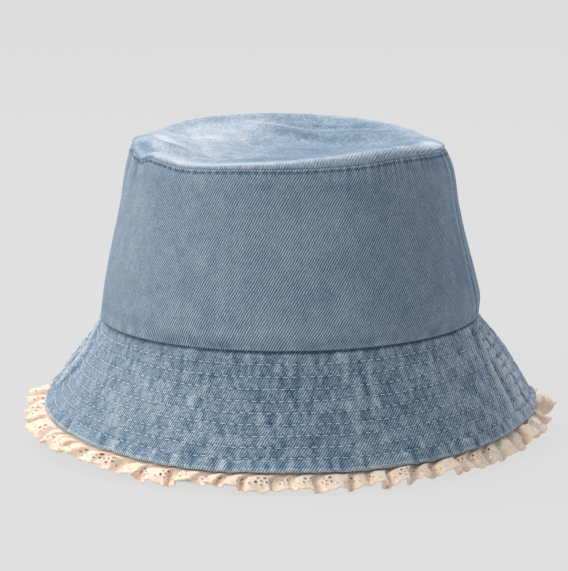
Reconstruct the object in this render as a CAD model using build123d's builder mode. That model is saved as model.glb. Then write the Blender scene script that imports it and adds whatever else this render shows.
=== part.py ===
"""A denim bucket hat with a gathered lace edge, built panel by panel as it is sewn.

Millimetres, +Z up. The wearer faces -Y, and the side seams lie on +X and -X.
The origin is on the surface that the hat stands on, under the middle of the crown.

Every ring of the hat is the same oval: a half width along X, times DEPTH_RATIO along Y.
An azimuth is 0 at the front and 90 at the +X side seam. A height is above the brim seam,
and an inset is measured inwards from the outside of the crown, along X.
"""

import math
import os

from build123d import *

# Crown
DEPTH_RATIO = 1.12  # front-to-back size over side-to-side size
SEAM_HALF_WIDTH = 91.0  # outside of the crown at the brim seam
CROWN_HEIGHT = 81.0  # brim seam to tip seam
TIP_HALF_WIDTH = 76.8  # outside of the crown at the tip seam
TIP_SINK = 4.0  # middle of the tip below the tip seam
RIM_RISE = 4.3  # rolled rim of the tip above the tip seam, and the roll's radius
ROLL_TURN = 110  # degrees that the rim rolls over

# Brim
BRIM_EDGE_HALF_WIDTH = 118.4
BRIM_DROP_SIDE = 42.5  # brim seam down to the edge, at the side seams
BRIM_DROP_FRONT = 50.5  # the same at the front and the back, which droop
BRIM_FLARE = 0.3  # how much of the brim's spread comes late, as in a bell

# Lace
LACE_HANG = 8.0  # below the brim's edge
LACE_OUT = 8.0  # beyond the brim's edge
LACE_DEPTH = 3.0  # through the ruffle's folds
LACE_HEADING = 0.865  # where its flat heading starts under the brim, as a share of its width
LACE_GATHER = 0.93  # where the heading ends and the ruffle stands away
LACE_HEADING_DEPTH = 1.0

# Cloth and thread
DENIM = 0.9
INTERLINING = 0.4
LINING = 0.4
SWEATBAND = 1.2
SWEATBAND_FOOT = 0.5  # its lower edge above the brim seam
SWEATBAND_TOP = 28.0
LAY = 0.05  # air between two layers that lie on each other
ALLOWANCE = 8.0  # width of a turned-in seam allowance
FLANGE_FOOT = 0.2  # where a brim allowance's fold ends and its flat part starts, above the seam
INTERLINING_ENDS = (0.03, 0.98)  # as shares of the brim's width
THREAD_WIDTH = 0.5
THREAD_RISE = 0.3  # how proud a stitch row lies

# Stitch rows
BRIM_ROWS = 9
FIRST_ROW = 0.105  # as a share of the brim's width from the seam
LAST_ROW = 0.89
TIP_TOPSTITCH_HEIGHT = CROWN_HEIGHT - 2.0
SWEATBAND_STITCH_HEIGHT = 2.5

# Outside of the crown as heights and half widths: it fills out just above the brim seam,
# tapers, and rounds over into the tip seam.
CROWN_LINE = [
    (0.0, SEAM_HALF_WIDTH),
    (5.0, 91.8),
    (31.0, 86.9),
    (55.0, 81.8),
    (67.0, 80.3),
    (75.0, 78.9),
    (CROWN_HEIGHT, TIP_HALF_WIDTH),
]

# The layers' insets, from the outside of the crown inwards
WALL_TURN_IN = 2 * DENIM  # the crown panel and its own turned-in allowance
FLANGE = WALL_TURN_IN + 2 * LAY  # the allowance of the tip, or of the upper brim
FLANGE_IN = FLANGE + DENIM
UNDER_FLANGE = FLANGE_IN + LAY  # the allowance of the lower brim
UNDER_FLANGE_IN = UNDER_FLANGE + DENIM
LINING_OUT = UNDER_FLANGE_IN + LAY
LINING_IN = LINING_OUT + LINING
BAND_OUT = LINING_IN + LAY
BAND_IN = BAND_OUT + SWEATBAND

# The brim layers' depths below its top face
INTERLINING_TOP = DENIM + LAY
UNDER_TOP = INTERLINING_TOP + INTERLINING + LAY
UNDER_BOTTOM = UNDER_TOP + DENIM
HEADING_TOP = UNDER_BOTTOM + 3 * LAY  # its straight heading spans the brim's curve
HEADING_BOTTOM = HEADING_TOP + LACE_HEADING_DEPTH

SEAM_LEVEL = BRIM_DROP_FRONT + LACE_HANG  # the lace stands on the surface at front and back
SECTIONS = 12  # cross-sections that a half brim is lofted through
ROUND_STEPS = 5  # spans along a cross-section of the brim
SLOPE_STEP = 0.01  # shares of the brim's width over which its slope is taken

# The azimuth at which each half of the hat starts, and the way that its revolve turns
HALVES = {"front": (-90, Axis((0, 0, 0), (0, 0, -1))), "back": (90, Axis.Z)}


def save(piece, name):
    """Labels a finished part and writes it as its own file."""
    piece.part.label = name
    export_step(piece.part, f"parts/{name}.step")


def crown_half_width(height):
    """Outside of the crown at a height, on straight lines between the outline's points."""
    for (low, wide), (high, narrow) in zip(CROWN_LINE, CROWN_LINE[1:]):
        if height <= high:
            return wide + (narrow - wide) * (height - low) / (high - low)
    return TIP_HALF_WIDTH


def crown_points(inset, low, high):
    """The crown's outline moved inwards, between two heights, from the bottom up."""
    heights = [low, *(height for height, _ in CROWN_LINE if low < height < high), high]
    return [(crown_half_width(height) - inset, SEAM_LEVEL + height) for height in heights]


def crown_face(outer, inner, low=0.0, high=CROWN_HEIGHT):
    """Cross-section, at +X, of one layer of cloth that follows the crown."""
    with BuildSketch(Plane.XZ) as face:
        with BuildLine():
            outside = Polyline(*crown_points(outer, low, high))
            inside = Polyline(*crown_points(inner, low, high))
            Line(outside @ 0, inside @ 0)
            Line(outside @ 1, inside @ 1)
        make_face()
    return face.sketch


def stretch_to_oval():
    """Stretches the round part in the builder at hand into the hat's oval."""
    scale(by=(1, DEPTH_RATIO, 1))


def crown_side(half):
    """Front or back panel of the crown, with its allowances turned in on all four sides."""
    _, turn = HALVES[half]
    back = Axis(turn.position, -turn.direction)
    side_turn = math.degrees(ALLOWANCE / SEAM_HALF_WIDTH)
    with BuildPart() as panel:
        revolve(crown_face(0, DENIM), turn, 180)
        revolve(crown_face(DENIM, WALL_TURN_IN, 0, ALLOWANCE), turn, 180)
        revolve(crown_face(DENIM, WALL_TURN_IN, CROWN_HEIGHT - ALLOWANCE), turn, 180)
        allowance = crown_face(DENIM, WALL_TURN_IN, ALLOWANCE, CROWN_HEIGHT - ALLOWANCE)
        revolve(allowance, turn, side_turn)
        revolve(mirror(allowance, Plane.YZ, mode=Mode.PRIVATE), back, side_turn)
        stretch_to_oval()
    return panel


def crown_tip():
    """The tip: an oval panel whose allowance is turned down inside the crown's side panels."""
    seam = SEAM_LEVEL + CROWN_HEIGHT + LAY
    hem = SEAM_LEVEL + CROWN_HEIGHT - ALLOWANCE
    hem_half_width = crown_half_width(CROWN_HEIGHT - ALLOWANCE)
    roll_centre = (TIP_HALF_WIDTH - RIM_RISE, seam)
    middle = seam - TIP_SINK
    inwards = (-1, 0)
    with BuildPart() as tip:
        with BuildSketch(Plane.XZ):
            with BuildLine():
                roll = CenterArc(roll_centre, RIM_RISE, 0, ROLL_TURN)
                top = Spline(roll @ 1, (0, middle), tangents=[roll % 1, inwards])
                under_roll = CenterArc(roll_centre, RIM_RISE - DENIM, 0, ROLL_TURN)
                under = Spline(under_roll @ 1, (0, middle - DENIM), tangents=[under_roll % 1, inwards])
                Line(roll @ 0, under_roll @ 0)
                Line(top @ 1, under @ 1)
            make_face()
            Polygon(
                (TIP_HALF_WIDTH, seam),
                (TIP_HALF_WIDTH, seam + DENIM),
                (TIP_HALF_WIDTH - FLANGE_IN, seam + DENIM),
                (hem_half_width - FLANGE_IN, hem),
                (hem_half_width - FLANGE, hem),
                (TIP_HALF_WIDTH - FLANGE, seam),
                align=None,
            )
        revolve(axis=Axis.Z)
        stretch_to_oval()
    return tip


def lining_side(half):
    """Front or back panel of the lining, which hangs inside the crown from the brim seam."""
    with BuildPart() as panel:
        revolve(crown_face(LINING_OUT, LINING_IN, 0, CROWN_HEIGHT - ALLOWANCE), HALVES[half][1], 180)
        stretch_to_oval()
    return panel


def lining_tip():
    """The lining's own tip, which closes the lining under the denim tip."""
    seam = CROWN_HEIGHT - ALLOWANCE
    edge = crown_half_width(seam) - LINING_OUT
    level = SEAM_LEVEL + seam + LAY
    with BuildPart() as tip:
        with BuildSketch(Plane.XZ):
            with BuildLine():
                under = Spline((edge, level), (edge / 2, level - TIP_SINK / 4), (0, level - TIP_SINK / 2))
                top = Spline(*(point + Vector(0, LINING) for point in (under @ 0, under @ 0.5, under @ 1)))
                Line(under @ 0, top @ 0)
                Line(under @ 1, top @ 1)
            make_face()
        revolve(axis=Axis.Z)
        stretch_to_oval()
    return tip


def crown_ring(outer, inner, low, high):
    """A closed ring of tape or thread that follows the crown."""
    with BuildPart() as ring:
        revolve(crown_face(outer, inner, low, high), Axis.Z)
        stretch_to_oval()
    return ring


def reach(azimuth):
    """Distance from the middle to the hat's oval at an azimuth, for a half width of one."""
    turn = math.radians(azimuth)
    return math.hypot(math.sin(turn), DEPTH_RATIO * math.cos(turn))


def radial_plane(azimuth):
    """The upright plane through the hat's middle and the oval's point at an azimuth."""
    turn = math.radians(azimuth)
    out = Vector(math.sin(turn), -DEPTH_RATIO * math.cos(turn), 0).normalized()
    return Plane((0, 0, 0), x_dir=out, z_dir=out.cross(Vector(0, 0, 1)))


def brim_drop(azimuth):
    """Height that the brim falls from its seam to its edge."""
    droop = math.cos(math.radians(azimuth)) ** 2
    return BRIM_DROP_SIDE + (BRIM_DROP_FRONT - BRIM_DROP_SIDE) * droop


def brim_top(share, azimuth):
    """Point of the brim's top face in its radial plane; share is 0 at the seam, 1 at the edge."""
    start = SEAM_HALF_WIDTH - FLANGE
    spread = share - BRIM_FLARE * share * (1 - share)
    fall = share + BRIM_FLARE / 2 * share * (1 - share)
    half_width = start + (BRIM_EDGE_HALF_WIDTH - start) * spread
    return Vector(half_width * reach(azimuth), SEAM_LEVEL - brim_drop(azimuth) * fall)


def brim_point(share, azimuth, depth):
    """Point of the brim in its radial plane, at a depth below the top face."""
    above = brim_top(share - SLOPE_STEP, azimuth)
    down = (brim_top(share + SLOPE_STEP, azimuth) - above).normalized()
    return brim_top(share, azimuth) + depth * Vector(down.Y, -down.X)


def flange_points(inset, azimuth):
    """Points, from the bottom up, of a brim allowance that is turned up along the crown's inside."""
    line = crown_points(inset, FLANGE_FOOT, ALLOWANCE)
    return [Vector(half_width * reach(azimuth), height) for half_width, height in line]


def brim_line(azimuth, depth, first, last):
    """Spline down the brim in the builder at hand, at a depth and between two shares."""
    shares = [first + (last - first) * i / ROUND_STEPS for i in range(ROUND_STEPS + 1)]
    return Spline(*(brim_point(share, azimuth, depth) for share in shares))


def brim_azimuths(half):
    """Azimuths of the cross-sections that half of the brim is lofted through."""
    start, _ = HALVES[half]
    return [start + 180 * i / SECTIONS for i in range(SECTIONS + 1)]


def brim_panel(half, top, bottom, flange, flange_in):
    """Front or back panel of a face of the brim, with its allowance turned up in the crown."""
    with BuildPart() as panel:
        for azimuth in brim_azimuths(half):
            with BuildSketch(radial_plane(azimuth)):
                with BuildLine():
                    upper = brim_line(azimuth, top, 0, 1)
                    lower = brim_line(azimuth, bottom, 0, 1)
                    Line(upper @ 1, lower @ 1)
                    outside = flange_points(flange, azimuth)
                    inside = flange_points(flange_in, azimuth)
                    Polyline(upper @ 0, *outside, *reversed(inside), lower @ 0)
                make_face()
        loft()
    return panel


def strip_sections(half, top, bottom, first, last):
    """Cross-sections of half a ring of cloth or thread that lies on or in the brim."""
    sections = []
    for azimuth in brim_azimuths(half):
        with BuildSketch(radial_plane(azimuth)) as section:
            with BuildLine():
                upper = brim_line(azimuth, top, first, last)
                lower = brim_line(azimuth, bottom, first, last)
                Line(upper @ 0, lower @ 0)
                Line(upper @ 1, lower @ 1)
            make_face()
        sections.append(section.sketch.face())
    return sections


def brim_interlining(half):
    """Stiffening between the brim's two faces, cut short of the seam and of the edge."""
    with BuildPart() as panel:
        loft(strip_sections(half, INTERLINING_TOP, INTERLINING_TOP + INTERLINING, *INTERLINING_ENDS))
    return panel


def brim_stitch_row(share):
    """A row of lockstitch: a thread on the brim's top face, and one under the brim or the lace."""
    under = HEADING_BOTTOM if share > LACE_HEADING else UNDER_BOTTOM
    width = math.hypot(BRIM_EDGE_HALF_WIDTH - SEAM_HALF_WIDTH, BRIM_DROP_SIDE)
    half_width = THREAD_WIDTH / 2 / width
    with BuildPart() as row:
        for half in HALVES:
            for top in (-THREAD_RISE - LAY, under + LAY):
                ends = (share - half_width, share + half_width)
                loft(strip_sections(half, top, top + THREAD_RISE, *ends))
    return row


def lace_ruffle():
    """The gathered lace as one closed band: sewn flat under the brim, and full at its edge."""
    with BuildPart() as lace:
        for half in HALVES:
            for azimuth in brim_azimuths(half):
                edge = brim_top(1, azimuth)
                low = edge.Y - LACE_HANG
                with BuildSketch(radial_plane(azimuth)):
                    with BuildLine():
                        Polyline(
                            brim_point(LACE_HEADING, azimuth, HEADING_TOP),
                            brim_point(1, azimuth, HEADING_TOP),
                            (edge.X + LACE_OUT, low),
                            (edge.X + LACE_OUT - LACE_DEPTH, low),
                            brim_point(LACE_GATHER, azimuth, HEADING_BOTTOM),
                            brim_point(LACE_HEADING, azimuth, HEADING_BOTTOM),
                            close=True,
                        )
                    make_face()
            loft()
    return lace


os.makedirs("parts", exist_ok=True)
save(crown_tip(), "crown_tip")
save(lining_tip(), "lining_tip")
for half in HALVES:
    save(crown_side(half), f"crown_side_{half}")
    save(lining_side(half), f"lining_side_{half}")
    save(brim_panel(half, 0, DENIM, FLANGE, FLANGE_IN), f"brim_upper_{half}")
    save(brim_interlining(half), f"brim_interlining_{half}")
    save(brim_panel(half, UNDER_TOP, UNDER_BOTTOM, UNDER_FLANGE, UNDER_FLANGE_IN), f"brim_lower_{half}")
save(crown_ring(BAND_OUT, BAND_IN, SWEATBAND_FOOT, SWEATBAND_TOP), "sweatband")
save(lace_ruffle(), "lace_ruffle")

thread = THREAD_WIDTH / 2
for name, height, outer in (
    ("tip_topstitch", TIP_TOPSTITCH_HEIGHT, -THREAD_RISE),
    ("sweatband_stitch", SWEATBAND_STITCH_HEIGHT, BAND_IN),
):
    save(crown_ring(outer, outer + THREAD_RISE, height - thread, height + thread), name)
for row in range(BRIM_ROWS):
    share = FIRST_ROW + (LAST_ROW - FIRST_ROW) * row / (BRIM_ROWS - 1)
    save(brim_stitch_row(share), f"brim_stitch_row_{row + 1}")
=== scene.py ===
"""A washed denim bucket hat with a gathered eyelet lace edge, sewn round the CAD frame.

Metres, +Z up, the wearer faces -Y. A place on the hat is an azimuth, 0 at the front and 90
at the +X side seam, a half width along X, and a height. Depth is the half width times RATIO.
"""

import math

import bpy
import numpy as np
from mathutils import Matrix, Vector, geometry


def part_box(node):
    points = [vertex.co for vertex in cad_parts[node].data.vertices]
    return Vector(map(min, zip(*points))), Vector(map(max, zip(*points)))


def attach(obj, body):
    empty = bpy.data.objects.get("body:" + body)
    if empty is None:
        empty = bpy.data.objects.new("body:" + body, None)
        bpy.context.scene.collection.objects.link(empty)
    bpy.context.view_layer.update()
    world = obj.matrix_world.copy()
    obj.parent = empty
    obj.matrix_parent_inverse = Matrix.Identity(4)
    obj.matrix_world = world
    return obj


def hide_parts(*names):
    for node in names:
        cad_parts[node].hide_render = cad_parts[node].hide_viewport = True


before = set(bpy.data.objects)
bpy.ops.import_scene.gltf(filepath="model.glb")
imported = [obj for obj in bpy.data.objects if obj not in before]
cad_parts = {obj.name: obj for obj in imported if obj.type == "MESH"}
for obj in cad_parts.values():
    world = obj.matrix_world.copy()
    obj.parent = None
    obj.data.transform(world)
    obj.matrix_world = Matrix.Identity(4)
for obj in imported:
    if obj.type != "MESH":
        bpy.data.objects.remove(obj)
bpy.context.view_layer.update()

MM = 0.001
TURN = 2 * math.pi
HALVES = ("front", "back")

# ------------------------------------------------------------------ shape read from the frame
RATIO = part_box("crown_side_back")[1].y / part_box("crown_side_back")[1].x
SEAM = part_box("crown_side_back")[0].z
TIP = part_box("crown_side_back")[1].z
CROWN_HEIGHT = TIP - SEAM
EDGE_HALF_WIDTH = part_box("brim_upper_front")[1].x
DENIM = 0.9 * MM  # thickness of a layer
LINING = 0.3 * MM
TAPE = 1.0 * MM
BY_SEAM = 88.0  # an azimuth on the front panels, just short of the side seam


def half_width_at(node, azimuth, height):
    """Half width of a node's outside at an azimuth and a height, or None where it has none."""
    turn = math.radians(azimuth)
    out = Vector((math.sin(turn), -RATIO * math.cos(turn), 0))
    hit, place, _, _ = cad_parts[node].ray_cast(out * 0.3 + Vector((0, 0, height)), -out)
    return math.hypot(place.x, place.y / RATIO) if hit else None


def outline(node, azimuth, high, low, count):
    """Half widths and heights down a node's outside, from high to low."""
    heights = np.linspace(high, low, count)
    found = [(half_width_at(node, azimuth, float(height)), height) for height in heights]
    found = np.array([pair for pair in found if pair[0]])
    return found[: int(found[:, 0].argmax()) + 1] if found[-1, 0] > found[0, 0] else found


def smoothed(values, passes):
    """Values with their small corners rounded off, ends kept."""
    values = np.array(values, float)
    for _ in range(passes):
        values[1:-1] = (values[:-2] + 2 * values[1:-1] + values[2:]) / 4
    return values


def running(steps):
    """Running total of steps along a line, from 0."""
    return np.concatenate([[0], np.cumsum(steps)])


CROWN_HEIGHTS = np.linspace(0.1 * MM, CROWN_HEIGHT - 0.1 * MM, 82)
CROWN_WIDTHS = smoothed([half_width_at("crown_side_front", BY_SEAM, SEAM + float(height))
                         for height in CROWN_HEIGHTS], 60)

side_outline = outline("brim_upper_front", BY_SEAM, SEAM - 0.6 * MM, 0, 240)
front_outline = outline("brim_upper_front", 0, SEAM - 0.6 * MM, 0, 240)
SIDE_DROP = SEAM - side_outline[-1, 1]
FRONT_DROP = SEAM - front_outline[-1, 1]
steps = np.hypot(*np.diff(side_outline, axis=0).T)
BRIM_SHARES = running(steps) / steps.sum()
BRIM_WIDTHS = side_outline[:, 0]
BRIM_FALLS = (SEAM - side_outline[:, 1]) / SIDE_DROP
BRIM_WIDTH = float(np.hypot(*np.diff(front_outline * [RATIO, 1], axis=0).T).sum())

ROWS = 9
row_widths = [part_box(f"brim_stitch_row_{row + 1}")[1].x - 0.4 * MM for row in range(ROWS)]
ROW_SHARES = np.interp(row_widths, BRIM_WIDTHS, BRIM_SHARES)

WAIST = 0.9 * MM  # how far the soft cloth draws in above the middle of the crown


def crown_half_width(height):
    """Outside of the soft crown at a height above the brim seam."""
    drawn_in = WAIST * np.exp(-(((height / CROWN_HEIGHT - 0.72) / 0.36) ** 2))
    return np.interp(height, CROWN_HEIGHTS, CROWN_WIDTHS) - drawn_in


# ------------------------------------------------------------------ fields and grids
def fade(x):
    """Smooth step of a number between 0 and 1."""
    x = np.clip(x, 0, 1)
    return x * x * x * (x * (6 * x - 15) + 10)


def bump(x, width):
    """A bell of height 1 and the given half width."""
    return np.exp(-((x / width) ** 2))


def noise(seed, turns, across, cells_round, cells_across):
    """Smooth random field from -1 to 1: it wraps after one turn, and across runs from 0 up."""
    rows = int(np.max(across) * cells_across) + 3
    lattice = np.random.default_rng(seed).uniform(-1, 1, (cells_round, rows))
    x, y = (turns % 1) * cells_round, across * cells_across
    i, j = np.floor(x).astype(int), np.floor(y).astype(int)
    a, b = fade(x - i), fade(y - j)
    near, far = i % cells_round, (i + 1) % cells_round
    low = lattice[near, j] * (1 - a) + lattice[far, j] * a
    high = lattice[near, j + 1] * (1 - a) + lattice[far, j + 1] * a
    return low * (1 - b) + high * b


PLAN = 0.4  # side of the square, round the hat's middle, that noise seen from above covers


def plan_noise(seed, points, cells_x, cells_y):
    """Smooth random field from -1 to 1 over the hat seen from above."""
    x, y = ((points[..., k] + 0.2) / PLAN for k in (0, 1))
    return noise(seed, x, y, cells_x, cells_y)


def around(azimuths, places):
    """Smooth value round the hat through a few (azimuth, value) places."""
    places = sorted((azimuth % 360, value) for azimuth, value in places)
    at = np.array([azimuth for azimuth, _ in places])
    value = np.array([value for _, value in places])
    at = np.concatenate([at[-2:] - 360, at, at[:2] + 360])
    value = np.concatenate([value[-2:], value, value[:2]])
    azimuths = np.asarray(azimuths) % 360
    i = np.clip(np.searchsorted(at, azimuths, side="right") - 1, 1, len(at) - 3)
    t = (azimuths - at[i]) / (at[i + 1] - at[i])
    slope = (value[2:] - value[:-2]) / (at[2:] - at[:-2])
    step = at[i + 1] - at[i]
    m0, m1 = slope[i - 1] * step, slope[i] * step
    return ((2 * t**3 - 3 * t**2 + 1) * value[i] + (t**3 - 2 * t**2 + t) * m0
            + (3 * t**2 - 2 * t**3) * value[i + 1] + (t**3 - t**2) * m1)


def apart(azimuths, middle):
    """Signed degrees from a middle azimuth, between -180 and 180."""
    return (np.asarray(azimuths) - middle + 180) % 360 - 180


def toward(azimuths, middle, width):
    """A bell of height 1 round a middle azimuth, with its half width in degrees."""
    return bump(apart(azimuths, middle), width)


def place(azimuths, widths, heights):
    """Points of the oval hat as an array of x, y, z."""
    turn = np.radians(azimuths)
    return np.stack([widths * np.sin(turn), -RATIO * widths * np.cos(turn),
                     heights + 0 * widths], axis=-1)


def unit(vectors):
    return vectors / np.maximum(np.linalg.norm(vectors, axis=-1, keepdims=True), 1e-12)


def ring_normals(points):
    """Normals of a grid that closes along its first axis, facing out of the hat."""
    round_it = np.roll(points, -1, axis=0) - np.roll(points, 1, axis=0)
    down_it = np.gradient(points, axis=1)
    return unit(np.cross(down_it, round_it))


def lengths_round(points):
    """Distance round a closed line to each of its points, and its whole length."""
    steps = np.linalg.norm(np.roll(points, -1, axis=0) - points, axis=-1)
    return running(steps)[:-1], steps.sum()


def lengths_along(points):
    """Distance along an open line to each of its points."""
    return running(np.linalg.norm(np.diff(points, axis=0), axis=-1))


def lengths_across(points):
    """Distance across a ring grid to each of its rows, averaged round the ring."""
    return running(np.linalg.norm(np.diff(points, axis=1), axis=-1).mean(axis=0))


def grid_faces(columns, rows, closed):
    """Quads of a grid of columns round the hat by rows down it, facing out."""
    count = columns if closed else columns - 1
    i, j = np.meshgrid(np.arange(count), np.arange(rows - 1), indexing="ij")
    k = (i + 1) % columns
    quads = np.stack([i * rows + j, i * rows + j + 1, k * rows + j + 1, k * rows + j], axis=-1)
    return quads.reshape(-1, 4)


def closed_over(points):
    """Points and triangles of a ring grid whose last row closes in on a point in its middle."""
    count, rows = points.shape[:2]
    quads = grid_faces(count, rows, True)
    last = np.arange(count) * rows + rows - 1
    fan = np.stack([last, np.full(count, count * rows), np.roll(last, -1)], axis=-1)
    triangles = np.concatenate([quads[:, [0, 1, 2]], quads[:, [0, 2, 3]], fan])
    return np.concatenate([points.reshape(-1, 3), points[:, -1].mean(axis=0)[None]]), triangles


def thicken(points, faces, thickness, lift=None):
    """Closes a sheet into cloth: its faces, a second face under them, and its raw edges."""
    normals = np.zeros_like(points)
    a, b, c = (points[faces[:, k]] for k in range(3))
    across = np.cross(b - a, c - a) if faces.shape[1] == 3 else np.cross(c - a, points[faces[:, 3]] - b)
    for k in range(faces.shape[1]):
        np.add.at(normals, faces[:, k], across)
    normals = unit(normals)
    count = len(points)
    top = points if lift is None else points + normals * lift[:, None]
    under = points - normals * thickness
    edges = np.stack([faces, np.roll(faces, -1, axis=1)], axis=-1).reshape(-1, 2)
    keys = np.sort(edges, axis=1) @ [count, 1]
    _, first, uses = np.unique(keys, return_index=True, return_counts=True)
    rim = edges[first[uses == 1]]
    walls = np.stack([rim[:, 1], rim[:, 0], rim[:, 0] + count, rim[:, 1] + count], axis=-1)
    return np.concatenate([top, under]), [faces, faces[:, ::-1] + count, walls]


def make(name, points, face_sets, material, replaces, uv=None, wear_and_light=None):
    """A mesh piece on the hat's one body, with cloth coordinates in metres and its wear and painted light."""
    mesh = bpy.data.meshes.new(name)
    faces = [face for faces in face_sets for face in faces.tolist()]
    mesh.from_pydata(points.tolist(), [], faces)
    if uv is not None:
        corners = np.empty(len(mesh.loops), int)
        mesh.loops.foreach_get("vertex_index", corners)
        copies = len(points) // len(uv)
        mesh.uv_layers.new(name="cloth").data.foreach_set("uv", np.tile(uv, (copies, 1))[corners].ravel())
    if wear_and_light is not None:
        copies = len(points) // len(wear_and_light)
        mesh.attributes.new("wear_and_light", "FLOAT", "POINT").data.foreach_set("value", np.tile(wear_and_light, copies))
    mesh.polygons.foreach_set("use_smooth", [True] * len(mesh.polygons))
    mesh.materials.append(material)
    mesh.update()
    piece = bpy.data.objects.new(name, mesh)
    bpy.context.scene.collection.objects.link(piece)
    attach(piece, "root")
    if replaces:
        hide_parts(*replaces)
    return piece


def contrast(heights, reach_round, reach_across):
    """Where a ring of cloth stands proud of its surroundings, positive, or sinks, negative."""
    mean = heights.copy()
    for _ in range(reach_round):
        mean = (np.roll(mean, 1, axis=0) + mean + np.roll(mean, -1, axis=0)) / 3
    for _ in range(reach_across):
        padded = np.pad(mean, ((0, 0), (1, 1)), mode="edge")
        mean = (padded[:, :-2] + padded[:, 1:-1] + padded[:, 2:]) / 3
    return heights - mean


def cone_pattern(top_length, bottom_length, height):
    """Start radius and angle share of the flat ring sector that a tapered panel is cut as."""
    share = (bottom_length - top_length) / (TURN * height)
    return top_length / (TURN * share), share


# ------------------------------------------------------------------ materials
def shader(name):
    """A new node material: its tree's node maker, its linker, and its main shader."""
    material = bpy.data.materials.new(name)
    material.use_nodes = True
    tree = material.node_tree
    main = tree.nodes["Principled BSDF"]

    def node(kind, **settings):
        made = tree.nodes.new(kind)
        for key, value in settings.items():
            if key in made.bl_rna.properties:
                setattr(made, key, value)
            else:
                made.inputs[key.replace("_", " ")].default_value = value
        return made

    return material, node, tree.links.new, main


def settle(main, **values):
    """Sets a shader's own sockets; an underscore stands for a space in a socket's name."""
    for name, value in values.items():
        main.inputs[name.replace("_", " ")].default_value = value


def maths(node, link, operation, first, second=None, third=None):
    """One Math node; each term is a number or another node's output."""
    made = node("ShaderNodeMath", operation=operation)
    for socket, term in zip(made.inputs, (first, second, third)):
        if term is None:
            continue
        if isinstance(term, (int, float)):
            socket.default_value = term
        else:
            link(term, socket)
    return made.outputs[0]


def cloud(node, link, where, scale, detail=2.0, stretch=(1, 1, 1)):
    """Noise over cloth coordinates, from 0 to 1."""
    mapping = node("ShaderNodeMapping", Scale=stretch)
    link(where, mapping.inputs["Vector"])
    made = node("ShaderNodeTexNoise", Scale=scale, Detail=detail)
    link(mapping.outputs[0], made.inputs["Vector"])
    return made.outputs["Fac"]


def ramp(node, link, factor, stops):
    """Colour ramp over a factor; stops are (position, linear colour)."""
    made = node("ShaderNodeValToRGB")
    elements = made.color_ramp.elements
    while len(elements) < len(stops):
        elements.new(0.5)
    for element, (position, colour) in zip(elements, stops):
        element.position = position
        element.color = (*colour, 1)
    link(factor, made.inputs["Fac"])
    return made.outputs["Color"]


TWILL_PITCH = 1.08 * MM
TWILL_ANGLE = 61.0


def denim(name, stops, angle=TWILL_ANGLE, pitch=TWILL_PITCH, twill=0.54, fleck_gain=0.2,
          speckle_gain=0.0, wear_and_light_gain=0.2, fade_gain=0.2, relief_depth=0.12 * MM, seed_shift=0.0):
    """Washed twill: diagonal lines, streaky yarns, flecks, faded clouds, and a per-point channel of worn
    ridges with painted light and shade.
    """
    material, node, link, main = shader(name)
    cloth = node("ShaderNodeUVMap", uv_map="cloth").outputs[0]
    shifted = node("ShaderNodeMapping", Location=(seed_shift, seed_shift, 0))
    link(cloth, shifted.inputs["Vector"])
    where = shifted.outputs[0]
    apart_uv = node("ShaderNodeSeparateXYZ")
    link(where, apart_uv.inputs[0])
    u, v = apart_uv.outputs[0], apart_uv.outputs[1]
    tilt = math.radians(angle)
    across = maths(node, link, "MULTIPLY", u, -math.sin(tilt))
    across = maths(node, link, "MULTIPLY_ADD", v, math.cos(tilt), across)
    wander = cloud(node, link, where, 200, 2)
    across = maths(node, link, "MULTIPLY_ADD", wander, 0.8 * MM, across)
    wave = maths(node, link, "SINE", maths(node, link, "MULTIPLY", across, TURN / pitch))
    # the lines come and go as single yarns float higher or lower
    broken = cloud(node, link, where, 900, 1)
    strength = maths(node, link, "MULTIPLY_ADD", broken, 1.2, 0.4)
    lines = maths(node, link, "MULTIPLY", wave, strength)
    streak = cloud(node, link, where, 1, 2, (1700, 240, 1))
    grain = cloud(node, link, where, 1500, 2)
    flecks = cloud(node, link, where, 1, 2, (430, 700, 1))
    speckle = cloud(node, link, where, 1, 2, (640, 1000, 1))
    clouds = cloud(node, link, where, 38, 3)
    patches = cloud(node, link, where, 150, 3)
    wear_and_light = node("ShaderNodeAttribute", attribute_name="wear_and_light").outputs["Fac"]
    tone = maths(node, link, "MULTIPLY_ADD", lines, twill * 0.5, 0.5)
    mottle = ((streak, 0.35), (grain, 0.25), (flecks, fleck_gain), (speckle, speckle_gain),
              (clouds, fade_gain), (patches, 0.16))
    for part, gain in mottle:
        centred = maths(node, link, "SUBTRACT", part, 0.5)
        tone = maths(node, link, "MULTIPLY_ADD", centred, gain, tone)
    tone = maths(node, link, "MULTIPLY_ADD", wear_and_light, wear_and_light_gain, tone)
    # where the channel of wear and painted light runs highest, pale undyed cotton shows, as where wear has
    # gone through the dye
    bare = node("ShaderNodeMapRange", interpolation_type="SMOOTHSTEP",
                From_Min=1.2, From_Max=1.8, To_Max=0.55)
    link(wear_and_light, bare.inputs["Value"])
    mixed = node("ShaderNodeMixRGB", Color2=(*linear(211, 210, 212), 1))
    link(bare.outputs["Result"], mixed.inputs["Fac"])
    link(ramp(node, link, tone, stops), mixed.inputs["Color1"])
    link(mixed.outputs[0], main.inputs["Base Color"])
    relief = maths(node, link, "MULTIPLY_ADD", streak, 0.6, lines)
    relief = maths(node, link, "MULTIPLY_ADD", grain, 0.5, relief)
    raised = node("ShaderNodeBump", Strength=0.5, Distance=relief_depth)
    link(relief, raised.inputs["Height"])
    link(raised.outputs[0], main.inputs["Normal"])
    rough = maths(node, link, "MULTIPLY_ADD", grain, 0.2, 0.75)
    link(rough, main.inputs["Roughness"])
    settle(main, Sheen_Weight=0.25, Sheen_Roughness=0.5, Sheen_Tint=(0.75, 0.8, 1, 1),
           Specular_IOR_Level=0.15)
    return material


def linear(red, green, blue):
    """Linear colour from display values of 0 to 255."""
    return tuple(((c / 255 + 0.055) / 1.055) ** 2.4 for c in (red, green, blue))


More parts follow.
